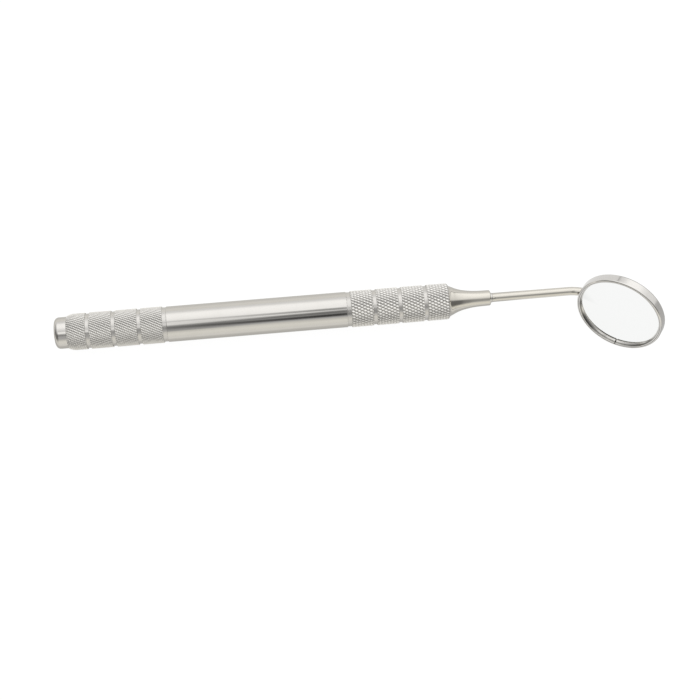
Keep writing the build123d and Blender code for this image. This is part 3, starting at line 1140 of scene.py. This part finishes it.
# Brightness of the room by the angle about the handle from straight up, + toward +Y, which is
# what polished steel shows.  The first number of each belt is how far its direction leans
# toward the head.
BRIGHT_SIDE = ((33, 1.46), (50, 1.52), (62, 1.5), (71, 1.28), (79, 1.07), (87, 1.02), (180, 1.0))
DIM_SIDE = ((-180, 1.0), (-105, 1.0), (-69, 1.08))
ROOM_BELTS = (
    (-0.8, ((-180, 0.95), (-80, 0.9), (-60, 0.3), (25, 0.25), (60, 0.6), (90, 0.4), (120, 0.9))),
    (-0.4, (
        (-180, 1.0), (-100, 1.0), (-69, 0.9), (-54, 0.5), (-46, 0.25), (-33, 0.15), (-19, 0.2),
        (-10, 0.4), (0, 0.9), (19, 1.3), (50, 1.5), (69, 1.4), (85, 1.05), (180, 1.0),
    )),
    (-0.17, DIM_SIDE + (
        (-55, 0.75), (-47, 0.6), (-37, 0.55), (-30, 0.7), (-23, 0.22), (-15, 0.25), (-7, 1.1),
        (0, 1.6), (7, 0.85), (15, 1.1), (24, 1.05),
    ) + BRIGHT_SIDE),
    (-0.12, DIM_SIDE + (
        (-57, 0.9), (-50, 0.72), (-35, 0.6), (-21, 0.55), (-14, 0.75), (-7, 1.4), (0, 1.6),
        (7, 1.1), (14, 1.05), (21, 1.3),
    ) + BRIGHT_SIDE),
    (-0.06, DIM_SIDE + (
        (-54, 0.88), (-47, 0.45), (-40, 0.4), (-33, 0.25), (-26, 0.15), (-19, 0.25), (-13, 0.55),
        (-6, 1.15), (0, 0.95), (6, 1.25), (13, 0.82), (20, 1.3),
    ) + BRIGHT_SIDE),
    (0.0, DIM_SIDE + (
        (-54, 0.92), (-47, 0.7), (-42, 0.55), (-36, 0.13), (-28, 0.1), (-20, 0.44), (-14, 0.2),
        (-7, 0.45), (0, 1.35), (6, 0.58), (13, 0.72), (18, 1.42),
    ) + BRIGHT_SIDE),
    (0.04, DIM_SIDE + (
        (-54, 0.8), (-47, 0.64), (-42, 0.42), (-36, 0.05), (-27, 0.03), (-20, 0.32), (-14, 0.2),
        (-7, 0.25), (0, 0.9), (6, 0.3), (13, 0.58), (18, 1.4),
    ) + BRIGHT_SIDE),
    (0.07, DIM_SIDE + (
        (-54, 0.9), (-47, 0.8), (-40, 0.66), (-33, 0.5), (-26, 0.44), (-19, 0.5), (-13, 0.56),
        (-6, 0.75), (0, 1.1), (6, 1.15), (13, 1.15), (20, 1.38),
    ) + BRIGHT_SIDE),
    (0.35, DIM_SIDE + (
        (-54, 0.95), (-47, 0.65), (-42, 0.48), (-33, 0.42), (-14, 0.42), (-6, 0.6), (0, 0.85),
        (12, 1.2), (40, 1.45), (66, 1.55), (80, 1.45), (90, 1.08), (98, 1.0), (180, 1.0),
    )),
    (0.65, DIM_SIDE + (
        (-66, 0.95), (-58, 0.5), (-50, 0.22), (-12, 0.2), (-6, 0.35), (0, 0.75), (8, 1.1), (40, 1.3),
        (66, 1.42), (80, 1.42), (92, 1.1), (105, 1.0), (180, 1.0),
    )),
    (0.85, (
        (-180, 0.9), (-100, 0.9), (-78, 0.95), (-70, 0.5), (-62, 0.18), (-12, 0.2), (-6, 0.3),
        (0, 0.65), (10, 0.95), (40, 1.1), (66, 1.1), (85, 1.0), (180, 1.0),
    )),
)
ROOM_PEAK = 1.6
ROOM_WARM_BELOW = -50
ROOM_WARM = (1.0, 0.985, 0.925)
ROOM_WHITE = (1.0, 1.0, 1.0)


def room_ramp(tree, angle, stops):
    """Light of the room by angle, from -180 to 180 degrees: a little warm low on the -Y side."""
    ramp = tree.nodes.new("ShaderNodeValToRGB")
    elements = ramp.color_ramp.elements
    while len(elements) < len(stops):
        elements.new(0.5)
    for element, (degrees, level) in zip(elements, stops):
        element.position = (degrees + 180) / 360
        tint = ROOM_WARM if degrees < ROOM_WARM_BELOW else ROOM_WHITE
        element.color = (*(part * level / ROOM_PEAK for part in tint), 1)
    tree.links.new(angle, ramp.inputs[0])
    return ramp.outputs["Color"]


def make_room():
    """Soft studio surroundings: reflections see the room, and the camera sees plain white."""
    world = bpy.data.worlds.new("soft_room")
    bpy.context.scene.world = world
    world.use_nodes = True
    tree = world.node_tree
    tree.nodes.clear()
    new = tree.nodes.new
    link = tree.links.new
    split = new("ShaderNodeSeparateXYZ")
    link(new("ShaderNodeTexCoord").outputs["Generated"], split.inputs[0])
    angle = new("ShaderNodeMath")
    angle.operation = "ARCTAN2"
    link(split.outputs["Y"], angle.inputs[0])
    link(split.outputs["Z"], angle.inputs[1])
    place = new("ShaderNodeMapRange")
    for socket, number in zip(place.inputs[1:5], (-math.pi, math.pi, 0, 1)):
        socket.default_value = number
    link(angle.outputs[0], place.inputs[0])
    colour = None
    for lean, stops in ROOM_BELTS:
        belt = room_ramp(tree, place.outputs[0], stops)
        if colour is not None:
            share = new("ShaderNodeMapRange")
            for socket, number in zip(share.inputs[1:5], (last_lean, lean, 0, 1)):
                socket.default_value = number
            link(split.outputs["X"], share.inputs[0])
            mix = new("ShaderNodeMix")
            mix.data_type = "RGBA"
            link(share.outputs[0], mix.inputs["Factor"])
            link(colour, mix.inputs[6])
            link(belt, mix.inputs[7])
            belt = mix.outputs[2]
        colour = belt
        last_lean = lean
    room = new("ShaderNodeBackground")
    room.inputs["Strength"].default_value = ROOM_PEAK
    link(colour, room.inputs["Color"])
    plain = new("ShaderNodeBackground")
    plain.inputs["Color"].default_value = (1, 1, 1, 1)
    seen = new("ShaderNodeLightPath")
    choose = new("ShaderNodeMixShader")
    link(seen.outputs["Is Camera Ray"], choose.inputs[0])
    link(room.outputs[0], choose.inputs[1])
    link(plain.outputs[0], choose.inputs[2])
    link(choose.outputs[0], new("ShaderNodeOutputWorld").inputs["Surface"])


make_room()

camera_data = bpy.data.cameras.new("photo_camera")
camera_data.sensor_width = 36
camera_data.lens = CAMERA_LENS
camera_data.clip_start = 0.01
camera = bpy.data.objects.new("photo_camera", camera_data)
bpy.context.scene.collection.objects.link(camera)
yaw = math.radians(CAMERA_YAW)
roll = math.radians(CAMERA_ROLL)
back = Vector((-math.sin(yaw), 0, math.cos(yaw)))
up = Vector((math.cos(yaw) * math.sin(roll), math.cos(roll), math.sin(yaw) * math.sin(roll)))
right = up.cross(back)
target = along * CAMERA_AIM_X - up * CAMERA_AIM_DROP
place = target + back * CAMERA_DISTANCE
camera.matrix_world = Matrix(
    (
        (right.x, up.x, back.x, place.x),
        (right.y, up.y, back.y, place.y),
        (right.z, up.z, back.z, place.z),
        (0, 0, 0, 1),
    )
)
bpy.context.scene.camera = camera
bpy.context.scene.view_settings.view_transform = "Standard"
